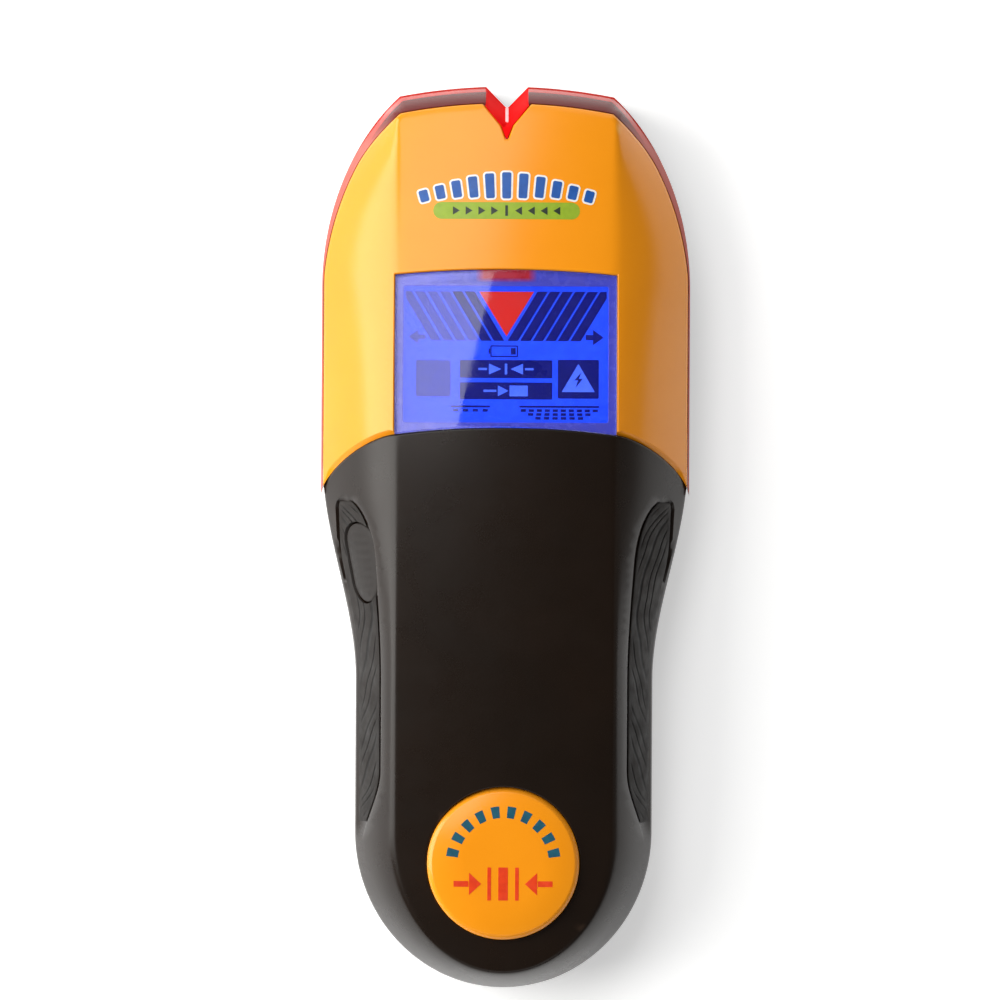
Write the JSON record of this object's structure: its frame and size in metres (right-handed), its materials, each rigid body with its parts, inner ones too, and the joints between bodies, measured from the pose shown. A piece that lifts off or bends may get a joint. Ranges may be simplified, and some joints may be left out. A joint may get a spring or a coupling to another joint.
{
  "type": "stud finder",
  "caption": "Handheld stud finder with a waisted grip, see-through red nose with a V notch and spotlight, backlit display, side power button and sliding battery door.",
  "frame": {"origin": "centre of the footprint on the sensing face, which the finder lies on", "axes": "+Y towards the notched nose, +Z out of the display, +X to the right of a person reading the display"},
  "size_m": [0.07, 0.1713, 0.033],
  "materials": {
    "black_plastic": "fine grained satin",
    "yellow_plastic": "glossy",
    "red_lens": "see-through, polished",
    "clear_window": "polished",
    "black_rubber": "matte, grooved",
    "white_plastic": "moulded",
    "clear_plastic": "polished",
    "lcd": "polished",
    "board_green": "solder mask",
    "copper": "bare",
    "chip_black": "moulded",
    "bright_metal": "plated",
    "gold": "plated",
    "blue_sleeve": "shrink sleeve",
    "ceramic": "fired",
    "zebra_rubber": "layered",
    "led_red": "see-through",
    "battery_wrap": "printed film",
    "wire_red": "sleeve",
    "wire_black": "sleeve"
  },
  "bodies": {
    "casing": {"back_housing": "black_plastic", "top_cover": "yellow_plastic", "handle_cover": "black_plastic", "nose_lens": "red_lens", "display_window": "clear_window", "left_grip": "black_rubber", "right_grip": "black_rubber", "badge_disc": "yellow_plastic", "lcd_glass": "lcd", "lcd_frame": "white_plastic", "backlight_panel": "white_plastic", "lcd_contact_strips": "zebra_rubber", "backlight_leds": "white_plastic", "main_board": "board_green", "microcontroller": "chip_black", "surface_parts": "ceramic", "capacitors": "blue_sleeve", "crystal": "bright_metal", "sensor_board": "board_green", "sensor_plates": "copper", "board_header": "gold", "buzzer": "chip_black", "pointer_led": "led_red", "beam_guide": "clear_plastic", "power_switch": "chip_black", "battery": "battery_wrap", "battery_terminals": "bright_metal", "battery_snap": "chip_black", "snap_contacts": "bright_metal", "positive_lead": "wire_red", "negative_lead": "wire_black", "housing_screws": "bright_metal", "board_screws": "bright_metal"},
    "power_button": {"power_button": "black_rubber"},
    "switch_plunger": {"switch_plunger": "white_plastic"},
    "battery_door": {"battery_door": "black_plastic"}
  },
  "joints": [
    {"name": "power_button_press", "type": "slide", "parent": "casing", "child": "power_button", "axis": [1, 0, 0], "range_m": [0, 0.001], "stiffness_N_per_m": 1500, "springref_m": -0.0004},
    {"name": "switch_plunger_press", "type": "slide", "parent": "casing", "child": "switch_plunger", "axis": [1, 0, 0], "range_m": [0, 0.001]},
    {"name": "battery_door_slide", "type": "slide", "parent": "casing", "child": "battery_door", "axis": [0, -1, 0], "range_m": [0, 0.022]}
  ],
  "couplings": [
    {"joint": "switch_plunger_press", "follows": "power_button_press", "ratio": 1}
  ]
}
